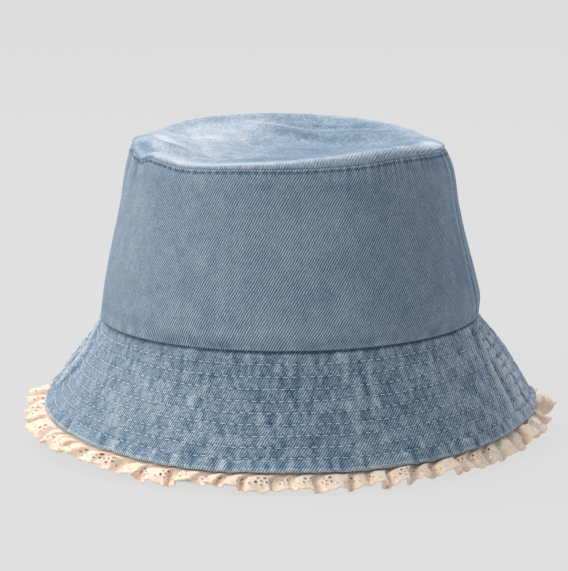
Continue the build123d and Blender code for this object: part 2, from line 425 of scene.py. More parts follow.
DENIM_STOPS = [(0.05, linear(42, 67, 94)), (0.5, linear(110, 137, 161)), (0.95, linear(207, 214, 221))]
denim_crown = denim("washed twill", DENIM_STOPS, twill=0.6)
denim_brim = denim("washed quilted twill", DENIM_STOPS, angle=66, pitch=1.12 * MM, twill=0.5,
                   fleck_gain=0.3, speckle_gain=0.75, wear_and_light_gain=0.18, seed_shift=0.7)
TIP_STOPS = [*DENIM_STOPS[:2], (0.95, linear(216, 219, 228))]
denim_tip = denim("faded tip twill", TIP_STOPS, angle=83, pitch=1.2 * MM, twill=0.22, fleck_gain=0.3,
                  speckle_gain=0.3, wear_and_light_gain=0.23, relief_depth=0.02 * MM, seed_shift=1.9)
denim_under = denim("unfaded twill", [(0.12, linear(58, 80, 106)), (0.5, linear(104, 128, 152)),
                                      (0.95, linear(186, 198, 210))], wear_and_light_gain=0.25, seed_shift=2.6)


def spun(name, dark, light, scale, sheen=0.3, relief=0.1):
    """Plain cotton or thread: fine fibre noise in colour and relief."""
    material, node, link, main = shader(name)
    where = node("ShaderNodeTexCoord").outputs["Object"]
    fibre = cloud(node, link, where, scale, 3)
    slubs = cloud(node, link, where, scale / 9, 2)
    tone = maths(node, link, "MULTIPLY_ADD", slubs, 0.5, maths(node, link, "MULTIPLY", fibre, 0.5))
    link(ramp(node, link, tone, [(0.3, dark), (0.7, light)]), main.inputs["Base Color"])
    raised = node("ShaderNodeBump", Strength=0.5, Distance=relief * MM)
    link(fibre, raised.inputs["Height"])
    link(raised.outputs[0], main.inputs["Normal"])
    settle(main, Roughness=0.85, Sheen_Weight=sheen, Specular_IOR_Level=0.15)
    return material


def weave(name, dark, light, pitch):
    """Plain weave from crossed sine yarns in cloth coordinates."""
    material, node, link, main = shader(name)
    cloth = node("ShaderNodeUVMap", uv_map="cloth").outputs[0]
    apart_uv = node("ShaderNodeSeparateXYZ")
    link(cloth, apart_uv.inputs[0])
    waves = [maths(node, link, "SINE", maths(node, link, "MULTIPLY", part, TURN / pitch))
             for part in (apart_uv.outputs[0], apart_uv.outputs[1])]
    crossed = maths(node, link, "MULTIPLY", waves[0], waves[1])
    slubs = cloud(node, link, cloth, 400, 3)
    tone = maths(node, link, "MULTIPLY_ADD", crossed, 0.2, slubs)
    link(ramp(node, link, tone, [(0.25, dark), (0.75, light)]), main.inputs["Base Color"])
    raised = node("ShaderNodeBump", Strength=0.4, Distance=0.1 * MM)
    link(tone, raised.inputs["Height"])
    link(raised.outputs[0], main.inputs["Normal"])
    settle(main, Roughness=0.9, Sheen_Weight=0.2, Specular_IOR_Level=0.1)
    return material


thread_pale = spun("pale blue thread", linear(186, 200, 213), linear(228, 233, 238), 2500)
thread_blue = spun("denim blue thread", linear(96, 118, 142), linear(150, 168, 186), 2500)
lace_cotton = spun("cream lace cotton", linear(251, 216, 193), linear(255, 239, 221), 1800,
                   sheen=0.6, relief=0.2)
lining_cotton = weave("lining cotton", linear(196, 190, 176), linear(226, 220, 208), 0.6 * MM)
interlining_felt = spun("interlining", linear(200, 200, 196), linear(228, 228, 224), 900)
band_tape = weave("sweatband tape", linear(66, 84, 106), linear(112, 132, 154), 0.9 * MM)

# ------------------------------------------------------------------ crown
COLUMNS = 720
turns = np.arange(COLUMNS) / COLUMNS
azimuths = 360 * turns - 90  # the first column is a side seam, so each half is one run of columns


def ring_grid(across, skip=1):
    """Turn, azimuth and place across of a grid round the hat."""
    turn, across = np.meshgrid(turns[::skip], across, indexing="ij")
    return turn, 360 * turn - 90, across


# height of the tip seam above its CAD level, and of the rolled rim above the seam
SEAM_SHIFT = [(-80, 2.4), (-66, 2.4), (-52, -0.8), (-46, 1.4), (-39, 1.0), (-26, -0.6), (-2, 0.9), (17, 1.2),
              (39, 1.9), (57, 2.9), (85, 1.0), (122, -2.2), (150, -0.8), (180, 0.0), (220, 0.8), (258, 0.8)]
RIM_RISE = [(-68, 1.2), (-46, 1.0), (-26, 0.5), (0, 1.0), (17, 2.5), (39, 3.9), (57, 3.8), (85, 2.4),
            (122, 1.6), (152, 3.2), (177, 4.6), (205, 5.2), (238, 4.6), (260, 3.0)]
# how far the rim leans in over the seam, where it is rounded like a shoulder
SHOULDER = [(-102, 3.0), (-84, 5.6), (-68, 3.2), (-40, 0.4), (0, 0.0), (60, 0.8), (85, 2.6), (102, 3.8),
            (122, 2.6), (145, 0.8), (180, 0.0), (240, 1.0)]
# how far the top of the crown leans in at the seam
LEAN = [(-102, 1.0), (-82, 1.0), (-60, 0.0), (50, 0.0), (82, 1.0), (102, 2.2), (125, 1.2), (150, 0), (230, 0)]
seam_shift = around(azimuths, SEAM_SHIFT) * MM
rim_rise = around(azimuths, RIM_RISE) * MM
leaning = around(azimuths, SHOULDER) * MM
top_lean = around(azimuths, LEAN) * MM


def side_seam(azimuths, width, valley, ridge, plateau):
    """Relief of a pressed-open seam at each side: a sewn valley between two allowances."""
    relief = 0
    for middle in (90, -90):
        off = np.abs(apart(azimuths, middle)) * math.radians(1) * width
        relief = relief - valley * bump(off, 0.9 * MM) + ridge * fade((plateau - off) / (1.6 * MM) + 0.5)
    return relief


# rows of the wall's grid, closest where the topstitch is
WALL_HEIGHTS = np.concatenate([np.linspace(CROWN_HEIGHT - 0.8 * MM, CROWN_HEIGHT - 5.6 * MM, 17),
                               np.linspace(CROWN_HEIGHT - 6.4 * MM, 1.1 * MM, 84)])
TOPSTITCH_DROP = 1.9 * MM
FOLD_ROWS = 4


def crown_panels():
    """Crown side panels: turned in at the tip seam, smooth down the side, folded under at the brim."""
    fold = [(-2.1, CROWN_HEIGHT - 5 * MM), (-1.9, CROWN_HEIGHT - 0.6 * MM), (-1.2, CROWN_HEIGHT - 0.1 * MM),
            (-0.5, CROWN_HEIGHT - 0.35 * MM)]
    fold = [(inset * MM, height) for inset, height in fold]
    wall = [(0.0, height) for height in WALL_HEIGHTS]
    foot = [(-0.25 * MM, 0.4 * MM), (-0.9 * MM, 0), (-1.6 * MM, 0.35 * MM), (-1.95 * MM, 1.4 * MM),
            (-2.1 * MM, 6 * MM)]
    path = np.array(fold + wall + foot)
    on_wall = fade((np.arange(len(path)) - 2) / 3) * fade((len(path) - 4 - np.arange(len(path))) / 3)
    turn, az, height = ring_grid(path[:, 1])
    share = height / CROWN_HEIGHT
    top = CROWN_HEIGHT - height
    leaned = top_lean[:, None] * np.exp(-np.maximum(top, 0) / (6 * MM))
    widths = crown_half_width(height) + path[:, 0] - leaned
    lifted = height + seam_shift[:, None] * fade((share - 0.35) / 0.65)
    points = place(az, widths, SEAM + lifted)
    normals = ring_normals(points)
    relief = 0.9 * MM * noise(11, turn, share, 9, 2) * fade(top / (12 * MM)) * fade(height / (10 * MM))
    relief += 0.10 * MM * noise(12, turn, share, 90, 10)
    gathers = 0.25 + 0.75 * toward(az, 68, 26) + 0.35 * toward(az, -60, 14)
    relief += 0.42 * MM * gathers * noise(13, turn + 0.012 * share, share, 150, 5) * np.exp(-top / (6 * MM))
    relief += 0.34 * MM * noise(14, turn, share, 110, 6) * np.exp(-height / (5 * MM))
    # needle holes of the topstitch pull the cloth in, about 2 mm under the seam
    tight = 0.5 + 0.5 * np.cos(TURN * turn * TIP_STITCHES)
    relief -= 0.35 * MM * bump(top - TOPSTITCH_DROP, 0.6 * MM) * tight
    # creases that fall from the dented rim at the wearer's right
    for crease, lean, length in ((-64, 7, 30), (-55, 3, 24), (-74, 10, 36)):
        line = crease - lean * top / (30 * MM)
        depth = np.exp(-top / (length * 0.4 * MM))
        relief -= 0.9 * MM * depth * toward(az, line, 2.2)
        relief += 0.5 * MM * depth * toward(az, line - 5, 3.0)
    relief += side_seam(az, crown_half_width(height), 0.6 * MM, 0.25 * MM, 7 * MM)
    relief = relief * on_wall
    wear_and_painted_light = contrast(relief, 14, 10) / (0.3 * MM)
    # painted shade in the dimples of the topstitch holes: a dark dotted band about 2 mm under the tip seam
    holes = 0.55 + 0.45 * np.cos(TURN * turn * TIP_STITCHES) + 0.3 * noise(15, turn, share, 200, 40)
    wear_and_painted_light -= 2.4 * bump(top - TOPSTITCH_DROP, 0.45 * MM) * holes + 0.5 * bump(top - TOPSTITCH_DROP, 0.8 * MM)
    # a pale line along the fold edge under the tip seam, strongest at the front right: partly wear, partly
    # painted highlight
    wear_and_painted_light += (0.4 + 0.9 * toward(az, 45, 42)) * bump(top - 0.7 * MM, 0.5 * MM) * (1.2 - 0.4 * holes)
    # painted light and shade in fine streaks that stand for small puckers under the tip seam at the right
    pulled = toward(az, 52, 20) + 0.6 * toward(az, 84, 10)
    wear_and_painted_light += 1.6 * pulled * noise(16, turn, share, 360, 3) * np.exp(-top / (6 * MM))
    # paler along the foot; darker round the right side, painted shade where it turns away from the key light
    wear_and_painted_light += 0.35 * bump(height - 0.5 * MM, 1.2 * MM) - 0.4 * toward(az, 80, 26)
    points = points + normals * relief[..., None]
    radius, cone = cone_pattern(*(TURN * crown_half_width(h) * 1.06 for h in (CROWN_HEIGHT, 0)), CROWN_HEIGHT)
    distance = running(np.hypot(*np.diff(path, axis=0).T))
    return points, wear_and_painted_light, radius, cone, distance


def half_columns(half, count=COLUMNS):
    """Columns of a ring that make one half, both side seams included."""
    start = 0 if half == "front" else count // 2
    return (start + np.arange(count // 2 + 1)) % count


def panel_uv(points, distance, radius, cone):
    """Cloth coordinates of one half panel from its own middle, cut as part of a flat ring."""
    middle = points[:, points.shape[1] // 2]
    steps = lengths_along(middle)
    angle = cone * math.pi * (steps / steps[-1] - 0.5)
    reach = radius + distance
    u = reach[None, :] * np.sin(angle)[:, None]
    v = -reach[None, :] * np.cos(angle)[:, None]
    return np.stack([u, v], axis=-1).reshape(-1, 2)


def sewn_halves(prefix, suffix, points, wear_and_painted_light, pattern, material, thickness=DENIM):
    """Makes the front and back pieces of a ring of cloth, with cloth coordinates of the flat sheets they are
    cut from.
    """
    radius, cone, distance = pattern
    for half in HALVES:
        columns = half_columns(half)
        part = points[columns]
        uv = panel_uv(part, distance, radius, cone)
        faces = grid_faces(len(columns), part.shape[1], False)
        solid, face_sets = thicken(part.reshape(-1, 3), faces, thickness)
        node = f"{prefix}_{half}"
        piece = make(f"{node}_{suffix}", solid, face_sets, material, [node], uv,
                     np.clip(wear_and_painted_light[columns], -1.5, 1.5).ravel())


STITCH_PITCH = 4.1 * MM
tip_length = lengths_round(place(azimuths, crown_half_width(CROWN_HEIGHT) + 0 * azimuths, TIP))[1]
TIP_STITCHES = round(tip_length / STITCH_PITCH)
crown_points, crown_wear_and_light, *crown_cut = crown_panels()
sewn_halves("crown_side", "cloth", crown_points, crown_wear_and_light, crown_cut, denim_crown)


def crown_tip():
    """The tip: sewn down inside the rim, rolled over it, and sunken and creased in the middle."""
    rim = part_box("crown_tip")[1].x - 1.3 * MM
    sink = 5.0 * MM
    allowance = [(-2.3 * MM, -6 * MM), (-2.1 * MM, -0.6 * MM), (-1.3 * MM, 0.15 * MM), (-0.6 * MM, 0.35 * MM)]
    columns = []
    for rise, shift, shoulder, lean in zip(rim_rise, seam_shift, leaning, top_lean):
        roll = [(0.0, 0.30 * rise + 0.3 * MM), (0.0, 0.55 * rise), (-0.5 * MM, 0.82 * rise),
                (-1.6 * MM, 0.98 * rise), (-3.6 * MM, 1.0 * rise), (-7.0 * MM, 0.82 * rise)]
        seam_width = rim - lean
        path = [(seam_width + inset, TIP + shift + height) for inset, height in allowance]
        path += [(seam_width + inset - shoulder * step - 0.25 * lean, TIP + shift + height)
                 for (inset, height), step in zip(roll, (0, 0.45, 0.8, 1, 1, 1))]
        inner = seam_width - 11.0 * MM - shoulder
        start = TIP + shift + 0.5 * rise
        for step in np.linspace(0, 1, 58) ** 0.9:
            width = inner * (1 - step) + 0.4 * MM * step
            depth = fade(step * 1.5) * (start - (TIP - sink))
            path.append((width, start - depth))
        columns.append(path)
    path = np.array(columns)
    az = np.repeat(azimuths[:, None], path.shape[1], axis=1)
    points = place(az, path[..., 0], path[..., 1])
    x, y = points[..., 0], points[..., 1]
    inside = fade((rim - 3 * MM - path[..., 0]) / (12 * MM))
    relief = 0
    # soft creases across the hollow: middle, direction, half length, half width and height in mm
    creases = [(-59, -13, -56, 20, 4.0, 1.5), (-40, -10, -67, 46, 6.0, 1.6), (-50, 18, 30, 18, 4.0, 1.1),
               (-46, -30, -20, 16, 3.0, -0.9), (-28, 24, -50, 26, 5.0, 1.3), (-64, 12, 70, 14, 3.0, -0.8),
               (14, 40, -6, 44, 7.0, 1.6), (30, 12, -14, 36, 6.0, -1.4), (-8, -34, 6, 46, 7.0, 1.5),
               (4, 62, 4, 36, 4.0, 1.5), (40, -34, 20, 30, 6.0, 1.2), (-12, 52, -16, 30, 5.0, -1.2)]
    for cx, cy, direction, half_length, half_width, height in creases:
        turn = math.radians(direction)
        along = (x - cx * MM) * math.cos(turn) + (y - cy * MM) * math.sin(turn)
        off = -(x - cx * MM) * math.sin(turn) + (y - cy * MM) * math.cos(turn)
        relief = relief + height * MM * bump(along, half_length * MM) * bump(off, half_width * MM)
    turn_share = np.repeat(turns[:, None], path.shape[1], axis=1)
    share = path[..., 0] / rim
    relief = relief + 1.0 * MM * plan_noise(21, points, 14, 14)
    relief = relief * inside
    gathers = bump(path[..., 0] - (rim - 2 * MM), 5 * MM)
    relief = relief + 0.1 * MM * gathers * noise(22, turn_share, share, 130, 3)
    wear_and_painted_light = contrast(relief, 16, 6) / (0.9 * MM)
    ridge = bump(np.arange(path.shape[1])[None, :] - 7.6, 1.9)
    wear_and_painted_light = wear_and_painted_light + 1.1 * ridge * (0.75 + 0.25 * noise(23, turn_share, share, 60, 3))
    wear_and_painted_light = wear_and_painted_light + 0.8 * bump(np.arange(path.shape[1])[None, :] - 5.0, 1.6)
    # paler towards the left, partly faded cloth and partly painted light from the left; a little paler at the
    # right too
    fade_and_light = bump(x + 50 * MM, 32 * MM) * (1.15 + 0.25 * plan_noise(24, points, 40, 40))
    fade_and_light = fade_and_light + 0.2 * bump(x - 45 * MM, 32 * MM)
    wear_and_painted_light = wear_and_painted_light + fade_and_light * inside + 0.4 * toward(az, -30, 34) * ridge
    wear_and_painted_light = wear_and_painted_light + 0.2 * inside * plan_noise(25, points, 170, 90)
    # the ridge is paler near the right side seam; painted shade darkens the dip inside the rim left of the
    # notch at the front left
    wear_and_painted_light = wear_and_painted_light + 0.9 * toward(az, 92, 14) * ridge - 1.3 * toward(az, -62, 9) * bump(share - 0.93, 0.05)
    normals = ring_normals(points)
    points = points + normals * relief[..., None]
    flat_points, triangles = closed_over(points)
    cloth_lengths = lengths_along(path.mean(axis=0))
    reach = cloth_lengths[-1] - cloth_lengths
    uv = place(az, reach[None, :] + 0 * az, 0)[..., :2].reshape(-1, 2)
    uv = np.concatenate([uv, [[0, 0]]])
    wear_and_painted_light = np.concatenate([wear_and_painted_light.ravel(), [0]])
    solid, face_sets = thicken(flat_points, triangles, DENIM)
    piece = make("crown_tip_cloth", solid, face_sets, denim_tip, ["crown_tip"], uv,
                 np.clip(wear_and_painted_light, -1.5, 2))


crown_tip()

# ------------------------------------------------------------------ brim
BRIM_ROWS = 112
brim_shares = np.linspace(0, 1, BRIM_ROWS)

# how much fuller the soft brim is half way down than the stiff one, and how its edge rises, in mm
FULLNESS = [(-112, 1.0), (-90, 3.2), (-75, -1.6), (-60, 0.4), (-30, 0.5), (13, 0.2), (60, 1.4), (103, 3.8),
            (140, 2.0), (180, 0.8), (230, 0.8)]
EDGE_RISE = [(-77, 2.2), (-50, 2.6), (-20, 2.2), (13, 1.0), (40, -2.4), (70, -2.8), (100, -1.2), (140, 0.6),
             (180, 0.6), (230, 1.2)]


def brim_base(az, share):
    """Points of the brim's smooth top face, with its soft waves round the edge."""
    widths = np.interp(share, BRIM_SHARES, BRIM_WIDTHS)
    fall = np.interp(share, BRIM_SHARES, BRIM_FALLS)
    drop = SIDE_DROP + (FRONT_DROP - SIDE_DROP) * np.cos(np.radians(az)) ** 2
    waves = 1.6 * np.sin(np.radians(3 * az + 40)) + 1.1 * np.sin(np.radians(5 * az - 60))
    ease = share**2
    fuller = around(az, FULLNESS) * MM * 4 * share * (1 - share)
    rise = around(az, EDGE_RISE) * MM * share**1.5 + 0.3 * MM * ease * waves
    return place(az, widths + fuller + 0.4 * MM * ease * waves, SEAM - drop * fall + 0.7 * fuller + rise)


def lanes(share):
    """Which channel between stitch rows a place lies in, and how far across the channel it is."""
    along = share * BRIM_WIDTH
    edges = np.concatenate([[0], ROW_SHARES * BRIM_WIDTH, [BRIM_WIDTH + 1.5 * MM]])
    channel = np.clip(np.searchsorted(edges, along, side="right") - 1, 0, ROWS)
    return channel, (along - edges[channel]) / (edges[channel + 1] - edges[channel])


BRIM_SIDE = 105 * MM  # half width of the brim half way down, for distances from the side seams


def fold_offset(az, share, middle):
    """Distance from the soft fold beside a side seam, which bows away from the seam."""
    side = -np.sign(middle)
    line = middle + side * 10 * (1 - np.exp(-share / 0.18))
    return apart(az, line) * side * math.radians(1) * BRIM_SIDE


def brim_relief(turn, az, share):
    """Height of the quilted cloth over the smooth brim, from stitch rows, channels and puckers."""
    along = share * BRIM_WIDTH
    rows = ROW_SHARES * BRIM_WIDTH
    near_seam = toward(az, 90, 7.5) + toward(az, -90, 7.5)
    relief = 0.45 * MM * noise(31, turn, share, 46, 3) + 0.25 * MM * noise(32, turn, share, 92, 5)
    relief += 0.17 * MM * noise(34, turn, share, 190, 9)
    relief = relief * fade(along / (9 * MM)) + 0.16 * MM * noise(45, turn, share, 210, 9)
    channel, across = lanes(share)
    puff = 1 - np.abs(2 * across - 1) ** 2.6
    plump = 0.14 + 0.35 * near_seam + 0.4 * (channel == ROWS)
    varied = 1 + 0.9 * noise(33, turn, channel / ROWS, 120, ROWS)
    relief += MM * plump * varied * puff
    for index, row in enumerate(rows):
        off = along - row
        near = np.exp(-np.abs(off) / (2.1 * MM))
        gather = noise(40 + index, turn + 0.0012 * np.sign(off), share, 210, 1)
        gather = gather + 0.6 * noise(60 + index, turn, share, 110, 1)
        relief += 0.3 * MM * gather * near * (1 + 0.6 * near_seam)
        relief -= (0.14 + 0.3 * near_seam) * MM * bump(off, 0.75 * MM)
    past = fade((along - rows[-1]) / (2 * MM))
    relief += (0.45 * MM * past * noise(35, turn, share, 190, 2)
               + 0.25 * MM * past * noise(36, turn, share, 330, 2))
    relief -= 0.4 * MM * bump(along, 1.0 * MM)
    relief += 0.35 * MM * noise(37, turn, share, 130, 3) * fade(1 - along / (7 * MM))
    relief += side_seam(az, BRIM_SIDE, 0.9 * MM, 0.6 * MM, 9 * MM) * fade(along / (3 * MM))
    # a soft fold runs down beside each side seam, away from it, and the cloth dips between the two
    for middle in (90, -90):
        off = fold_offset(az, share, middle)
        strength = fade(along / (3 * MM)) * fade((0.95 - share) / 0.3)
        relief += strength * (1.8 * MM * bump(off, 2.8 * MM) - 0.9 * MM * bump(off + 6 * MM, 3 * MM))
    relief -= 0.25 * MM * toward(az, 35, 1.1) * fade(along / (8 * MM)) * fade((BRIM_WIDTH - along) / (8 * MM))
    return relief


def brim_surface():
    """The brim's top face over its whole ring: points, relief and wear."""
    turn, az, share = ring_grid(brim_shares)
    points = brim_base(az, share)
    normals = ring_normals(points)
    relief = brim_relief(turn, az, share)
    wear_and_painted_light = contrast(relief, 9, 9) / (0.3 * MM)
    channel, across = lanes(share)
    lane = channel + 0.3 * across
    wear_and_painted_light = wear_and_painted_light + 0.25 * noise(38, turn, share, 150, 11) + 0.45 * noise(39, turn, lane, 330, 1)
    wear_and_painted_light = wear_and_painted_light + 0.35 * noise(47, turn, lane, 170, 1) + 0.35 * noise(46, turn, share, 420, 30)
    along = share * BRIM_WIDTH
    # painted shade in the groove just below each stitch row
    for row in ROW_SHARES * BRIM_WIDTH:
        wear_and_painted_light = wear_and_painted_light - 0.2 * bump(along - row - 0.5 * MM, 0.9 * MM)
    # painted shade in the groove of the brim seam, under the crown's folded foot
    wear_and_painted_light = wear_and_painted_light - 0.8 * bump(along - 0.2 * MM, 0.7 * MM)
    wear_and_painted_light = wear_and_painted_light * (1 - 0.4 * toward(az, -60, 38))
    # a pale strip near the right side seam, partly a worn fold and partly painted light from behind on the
    # right; slightly paler at the left front, slightly darker at the front middle
    wear_and_painted_light = wear_and_painted_light + 1.2 * toward(az, 87, 10) + 0.1 * toward(az, -62, 34) - 0.2 * toward(az, 12, 22)
    for middle in (90, -90):
        allowance = np.abs(apart(az, middle)) * math.radians(1) * BRIM_SIDE - 9 * MM
        wear_and_painted_light = wear_and_painted_light + 0.6 * bump(allowance, 1.2 * MM)
        pale = bump(fold_offset(az, share, middle), 3.0 * MM) * (0.8 + 0.5 * noise(48, turn, share, 300, 16))
        wear_and_painted_light = wear_and_painted_light + 0.8 * pale * fade((1.05 - share) / 0.3)
    return points, normals, relief, wear_and_painted_light


brim_points, brim_normals, brim_relief_map, brim_wear_and_light = brim_surface()
ring_lengths = [lengths_round(brim_points[:, k])[1] for k in (0, -1)]
BRIM_CUT = cone_pattern(*ring_lengths, BRIM_WIDTH)


def tucked(places):
    """Rows of an allowance that stands up inside the crown, from (inset, height) places in mm."""
    around_hat = azimuths[:, None]
    return [place(around_hat, crown_half_width(height * MM) - inset * MM + 0 * around_hat, SEAM + height * MM)
            for inset, height in places]


def brim_panels():
    """Upper brim panels: turned up inside the crown, quilted, and turned under at the edge."""
    top = brim_points + brim_normals * brim_relief_map[..., None]
    tuck = tucked([(2.9, 7), (2.8, 3), (2.3, 0.6)])
    down = unit(brim_points[:, -1] - brim_points[:, -3])
    edge = top[:, -1]
    out = brim_normals[:, -1]
    hem = [edge + down * 0.55 * MM - out * 0.35 * MM, edge + down * 0.7 * MM - out * 1.0 * MM,
           edge + down * 0.35 * MM - out * 1.55 * MM]
    points = np.concatenate([*tuck, top, *(part[:, None] for part in hem)], axis=1)
    wear_and_painted_light = np.concatenate([np.zeros((COLUMNS, 3)), brim_wear_and_light, np.full((COLUMNS, 3), 1.2)], axis=1)
    wear_and_painted_light[:, -5:-3] += 1.3
    return points, wear_and_painted_light, (*BRIM_CUT, lengths_across(points))


upper_points, upper_wear_and_light, upper_cut = brim_panels()
sewn_halves("brim_upper", "cloth", upper_points, upper_wear_and_light, upper_cut, denim_brim)

LACE_WIDTH = 18.5 * MM
HEADING = 8.0 * MM
MOTIF = 13.2 * MM
SCALLOPS = 3
PLEAT = 16.5 * MM  # flat width of a pleat
LACE_THICKNESS = 0.45 * MM
UNDER = 2.3 * MM  # the underside's depth below the top face


def brim_layer(depth, first, last, rows, softness):
    """A smooth-sided layer of the brim at a depth below its top face."""
    keep = np.linspace(first * (BRIM_ROWS - 1), last * (BRIM_ROWS - 1), rows).round().astype(int)
    relief = brim_relief_map[:, keep] * softness - depth
    return brim_points[:, keep] + brim_normals[:, keep] * relief[..., None]


def brim_under():
    """Lower brim panels: the same quilting seen from below, with its allowance inside the crown."""
    turn, _, share = ring_grid(brim_shares[1::2])
    keep = np.arange(1, BRIM_ROWS, 2)
    along = share * BRIM_WIDTH
    relief = -UNDER + DENIM + brim_relief_map[:, keep] * 0.35
    relief -= 0.25 * MM * noise(71, turn, share, 90, 6) + 0.2 * MM * noise(72, turn, share, 200, 9)
    for row in ROW_SHARES * BRIM_WIDTH:
        relief += 0.35 * MM * bump(along - row, 0.9 * MM)
    points = brim_points[:, keep] + brim_normals[:, keep] * relief[..., None]
    tuck = tucked([(3.9, 7), (3.8, 3), (3.6, 0.2)])
    points = np.concatenate([*tuck, points], axis=1)
    wear_and_painted_light = np.concatenate([np.zeros((COLUMNS, 3)), -contrast(relief, 9, 5) / (0.3 * MM)], axis=1)
    return points, wear_and_painted_light, (*BRIM_CUT, lengths_across(points))


under_points, under_worn, under_cut = brim_under()
sewn_halves("brim_lower", "cloth", under_points, under_worn, under_cut, denim_under)
stiffener = brim_layer(1.0 * MM, 0.04, 0.97, 24, 0.7)
stiffener_distance = np.linspace(0, 0.93 * BRIM_WIDTH, 24)
sewn_halves("brim_interlining", "felt", stiffener, np.zeros(stiffener.shape[:2]),
            (*BRIM_CUT, stiffener_distance), interlining_felt, 0.3 * MM)


# ------------------------------------------------------------------ stitches
def stitch_form():
    """One stitch of unit length along x: a thread that rises from its hole and dips into the next."""
    along = np.array([-0.5, -0.44, -0.3, 0.0, 0.3, 0.44, 0.5])
    girth = np.array([0.35, 0.85, 1.0, 1.0, 1.0, 0.85, 0.35])
    sag = np.array([-1.6, -0.5, 0.15, 0.35, 0.15, -0.5, -1.6])
    sides = 6
    angle = TURN * np.arange(sides) / sides
    form = np.array([[(a, g * math.sin(t), g * math.cos(t) + s) for t in angle]
                     for a, g, s in zip(along, girth, sag)]).reshape(-1, 3)
    faces = []
    for ring in range(len(along) - 1):
        for side in range(sides):
            a, b = ring * sides + side, ring * sides + (side + 1) % sides
            faces.append((a, b, b + sides, a + sides))
    caps = [tuple(reversed(range(sides))), tuple(range((len(along) - 1) * sides, len(along) * sides))]
    return form, np.array(faces), np.array(caps)


STITCH, STITCH_SIDES, STITCH_CAPS = stitch_form()


def lay_stitches(seed, path, normals, pitch=STITCH_PITCH, fill=0.66, radius=0.22 * MM):
    """Stitches end to end along a closed path that lies on the cloth: points and faces."""
    rng = np.random.default_rng(seed)
    lengths, total = lengths_round(path)
    count = round(total / pitch)
    at = (np.arange(count) + rng.uniform(-0.06, 0.06, count)) * total / count
    loop = np.append(lengths, total)
    ahead, closed = np.append(path, path[:1], axis=0), np.append(normals, normals[:1], axis=0)

    def along(values, where):
        return np.stack([np.interp(where % total, loop, values[:, k]) for k in range(3)], axis=-1)

    middle, up = along(ahead, at), unit(along(closed, at))
    tangent = unit(along(ahead, at + 0.8 * MM) - along(ahead, at - 0.8 * MM))
    side = unit(np.cross(up, tangent))
    tangent = unit(tangent + side * rng.uniform(-0.07, 0.07, count)[:, None])
    size = pitch * fill * rng.uniform(0.93, 1.05, count)
    form = (middle[:, None] + tangent[:, None] * (STITCH[None, :, :1] * size[:, None, None])
            + side[:, None] * (STITCH[None, :, 1:2] * radius) + up[:, None] * (STITCH[None, :, 2:] * radius))
    shift = np.arange(count)[:, None, None] * len(STITCH)
    return (form.reshape(-1, 3), (STITCH_SIDES[None] + shift).reshape(-1, 4),
            (STITCH_CAPS[None] + shift).reshape(-1, STITCH_CAPS.shape[1]))


def stitch_piece(name, node, runs, material):
    """Joins runs of stitches into the piece that stands for one CAD thread node."""
    points, sides, caps, shift = [], [], [], 0
    for run_points, run_sides, run_caps in runs:
        points.append(run_points)
        sides.append(run_sides + shift)
        caps.append(run_caps + shift)
        shift += len(run_points)
    return make(name, np.concatenate(points), [np.concatenate(sides), np.concatenate(caps)],
                material, [node])


def at_share(points, share):
    """Line round the brim at a share of its width, from a grid over the whole width."""
    exact = share * (points.shape[1] - 1)
    low = int(exact)
    return points[:, low] * (1 - exact + low) + points[:, low + 1] * (exact - low)


top_face = brim_points + brim_normals * brim_relief_map[..., None]
under_face = under_points[:, 3:] - brim_normals[:, 1::2] * DENIM
for row in range(ROWS):
    share = ROW_SHARES[row]
    up = at_share(brim_normals, share)
    runs = [lay_stitches(100 + row, at_share(top_face, share) + up * 0.07 * MM, up)]
    below = share * (BRIM_ROWS - 1) / 2 - 0.5
    beneath = at_share(under_face, below / (under_face.shape[1] - 1))
    if (1 - share) * BRIM_WIDTH < HEADING:
        beneath = at_share(brim_points, share) - up * (UNDER + 1.3 * MM + LACE_THICKNESS)
    runs.append(lay_stitches(120 + row, beneath - up * 0.1 * MM, -up))
    stitch_piece(f"brim_row_{row + 1}_thread", f"brim_stitch_row_{row + 1}", runs, thread_pale)

stitch_row = FOLD_ROWS + int(np.abs(WALL_HEIGHTS - (CROWN_HEIGHT - TOPSTITCH_DROP)).argmin())
crown_normals = ring_normals(crown_points)
stitch_piece("tip_topstitch_thread", "tip_topstitch",
             [lay_stitches(140, crown_points[:, stitch_row] + crown_normals[:, stitch_row] * 0.1 * MM,
                           crown_normals[:, stitch_row], radius=0.14 * MM)], thread_blue)


# ------------------------------------------------------------------ inside the crown
def inner_ring(inset, heights, seed, waviness):
    """A grid that follows the inside of the crown, gently wavy."""
    turn, az, height = ring_grid(heights, 2)
    points = place(az, crown_half_width(height) - inset, SEAM + height)
    relief = waviness * noise(seed, turn, height / CROWN_HEIGHT, 40, 6)
    return points - ring_normals(points) * np.abs(relief)[..., None]


def lining():
    """Lining side panels: thin cotton that hangs a little loose inside the crown."""
    heights = np.linspace(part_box("lining_side_back")[1].z - SEAM, 0.5 * MM, 40)
    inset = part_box("crown_side_back")[1].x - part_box("lining_side_back")[1].x + 0.3 * MM
    points = inner_ring(inset, heights, 81, 0.5 * MM)
    for half in HALVES:
        part = points[half_columns(half, len(points))]
        steps = lengths_along(part[:, 20])
        u, v = np.meshgrid(steps, -heights[::-1], indexing="ij")
        solid, face_sets = thicken(part.reshape(-1, 3), grid_faces(*part.shape[:2], False), LINING)
        piece = make(f"lining_side_{half}_cotton", solid, face_sets, lining_cotton,
                     [f"lining_side_{half}"], np.stack([u, v], axis=-1).reshape(-1, 2))


band_heights = np.linspace(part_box("sweatband")[1].z - SEAM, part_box("sweatband")[0].z - SEAM, 24)


